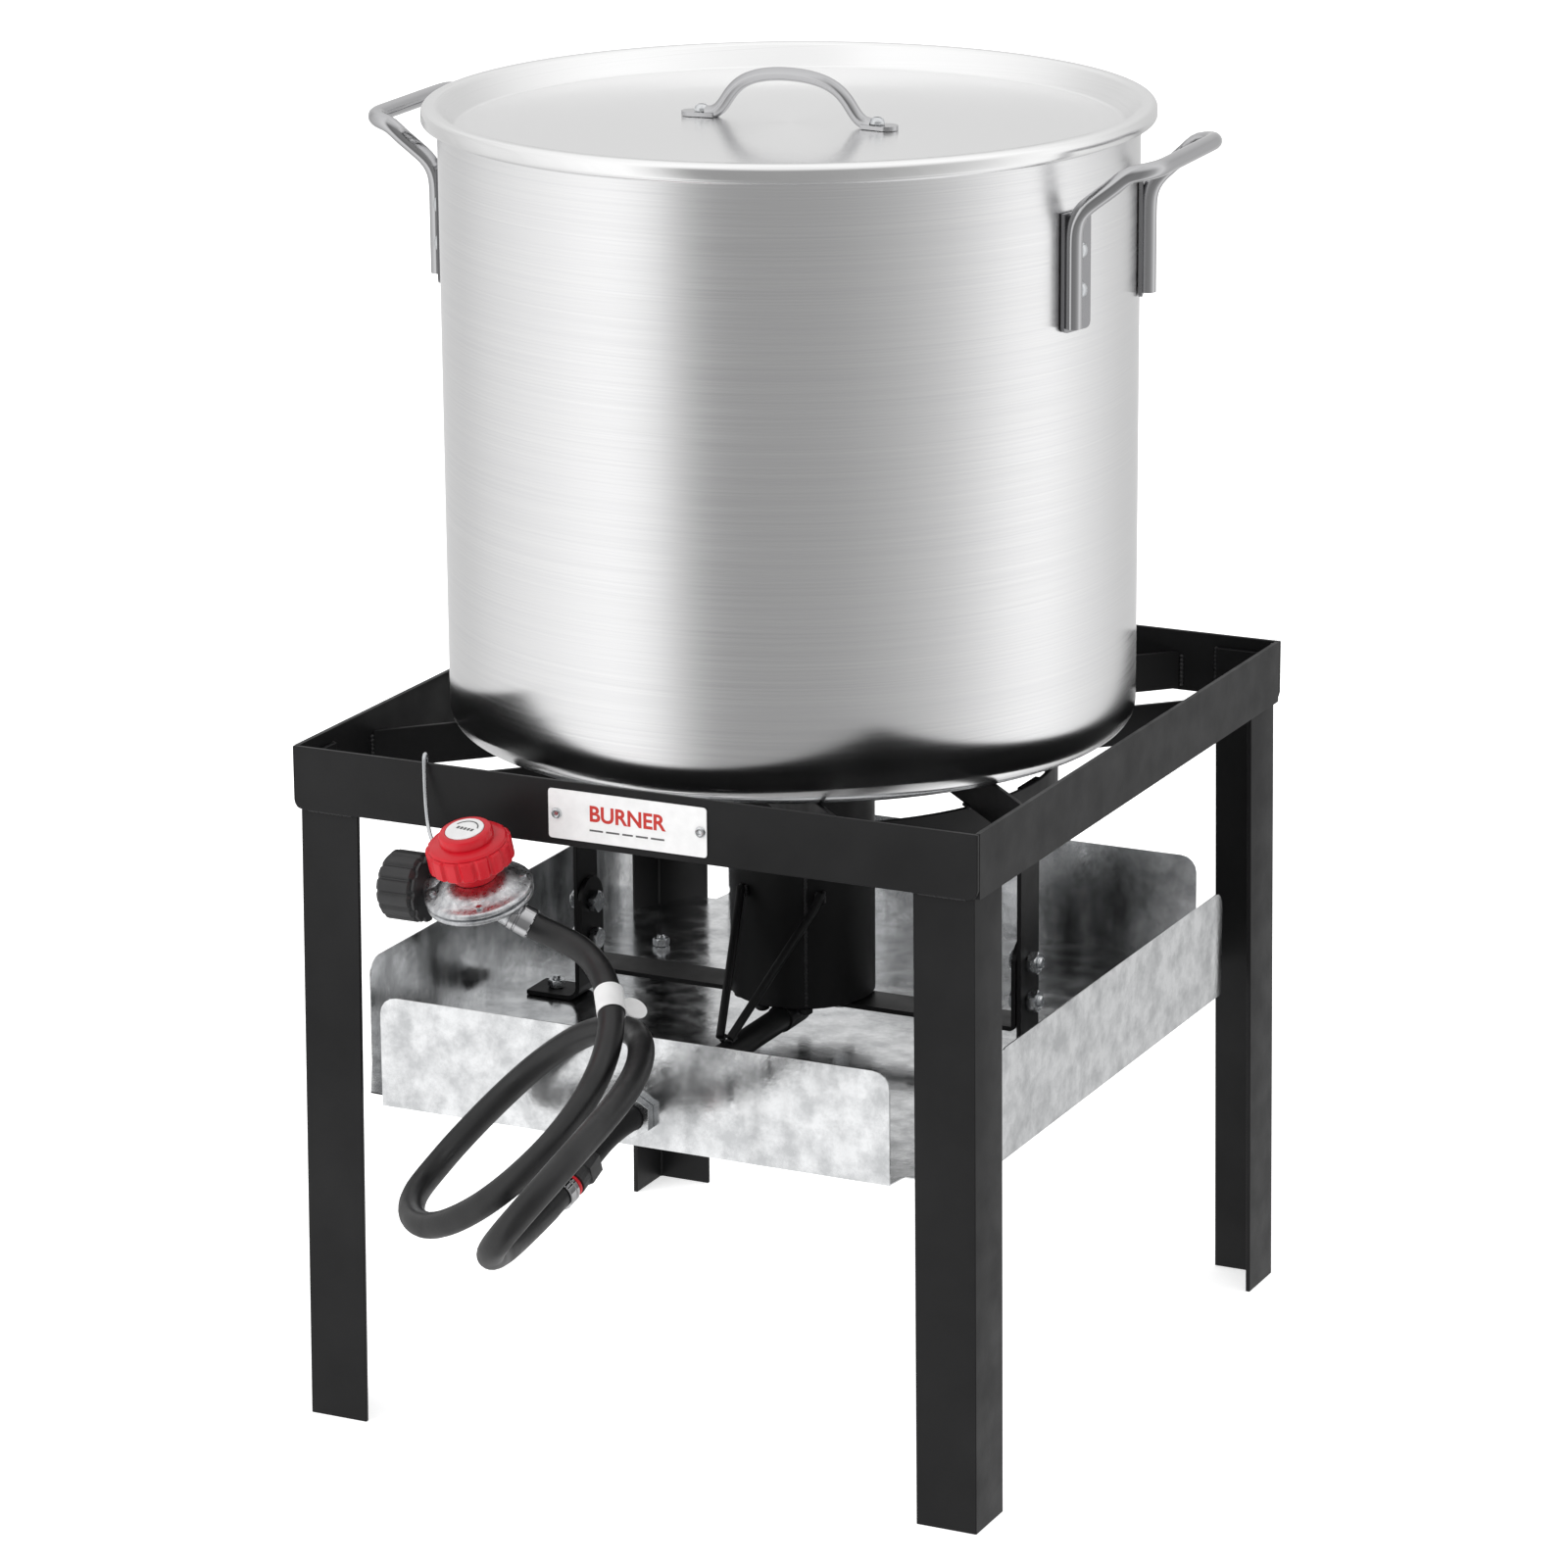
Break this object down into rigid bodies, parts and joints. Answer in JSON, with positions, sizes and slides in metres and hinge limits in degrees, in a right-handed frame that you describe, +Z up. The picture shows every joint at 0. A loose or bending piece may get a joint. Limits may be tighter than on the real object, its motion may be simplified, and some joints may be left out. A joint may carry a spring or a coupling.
{
  "type": "propane burner stand",
  "caption": "Square angle-iron stand with a galvanised tray, round burner, gas regulator on a looped hose, and a lidded stockpot resting on its grate.",
  "frame": {"origin": "on the floor, under the centre of the square frame", "axes": "+Z up, -Y the front with the nameplate and the regulator, +X to the right seen from the front"},
  "size_m": [0.53, 0.7198, 0.8287],
  "materials": {
    "black_paint": "satin black paint",
    "zinc": "bright zinc plating",
    "galvanised_sheet": "hot-dip galvanised sheet",
    "cast_iron": "raw casting",
    "black_fitting": "black plated fitting",
    "black_plastic": "moulded matt plastic",
    "red_plastic": "semi-gloss moulded plastic",
    "die_cast_zinc": "die-cast, lightly tumbled",
    "label": "blank white label stock",
    "hose_rubber": "smooth black hose cover",
    "pot_aluminium": "circular brushed",
    "polished_steel": "polished"
  },
  "bodies": {
    "stand": {"rail_front": "black_paint", "rail_back": "black_paint", "rail_left": "black_paint", "rail_right": "black_paint", "leg_front_left": "black_paint", "leg_front_right": "black_paint", "leg_back_left": "black_paint", "leg_back_right": "black_paint", "grate_bar_a": "black_paint", "grate_bar_b": "black_paint", "grate_bar_c": "black_paint", "grate_bar_d": "black_paint", "heat_band": "black_paint", "strap_left": "black_paint", "strap_right": "black_paint", "burner_carrier": "black_paint", "wind_guard": "black_paint", "stay_rod_left": "black_paint", "stay_rod_right": "black_paint", "carrier_bolt_left_1": "zinc", "carrier_bolt_left_2": "zinc", "carrier_bolt_right_1": "zinc", "carrier_bolt_right_2": "zinc", "foot_bolt_left": "zinc", "foot_bolt_right": "zinc", "burner_bolt_left": "zinc", "burner_bolt_right": "zinc", "tray_bolt_left": "zinc", "tray_bolt_right": "zinc", "gas_pipe": "zinc", "lock_nut": "zinc", "plate_rivet_left": "zinc", "plate_rivet_right": "zinc", "wire_hook": "zinc", "outlet_ferrule": "zinc", "inlet_ferrule": "zinc", "tray": "galvanised_sheet", "burner_casting": "cast_iron", "pipe_adapter": "black_fitting", "seal_ring": "red_plastic", "regulator_body": "die_cast_zinc", "hose_tag": "label", "nameplate": "label", "gas_hose": "hose_rubber"},
    "pot": {"stockpot": "pot_aluminium", "pot_handle_left": "polished_steel", "pot_handle_right": "polished_steel"},
    "lid": {"lid": "pot_aluminium", "lid_handle": "polished_steel", "lid_screw_left": "zinc", "lid_screw_right": "zinc"},
    "knob": {"regulator_knob": "red_plastic", "knob_disc": "label"},
    "hand_nut": {"hand_nut": "black_plastic"}
  },
  "joints": [
    {"name": "pot_lift", "type": "slide", "parent": "stand", "child": "pot", "axis": [0, 0, 1], "range_m": [0, 0.2]},
    {"name": "lid_lift", "type": "slide", "parent": "pot", "child": "lid", "axis": [0, 0, 1], "range_m": [0, 0.15]},
    {"name": "knob_turn", "type": "hinge", "parent": "stand", "child": "knob", "pos_m": [-0.081, -0.275, 0.371], "axis": [-0.054, -0.2768, 0.9594], "range_deg": [-540, 540]},
    {"name": "hand_nut_turn", "type": "hinge", "parent": "stand", "child": "hand_nut", "pos_m": [-0.13, -0.275, 0.3695], "axis": [1, 0, 0], "continuous": true}
  ]
}
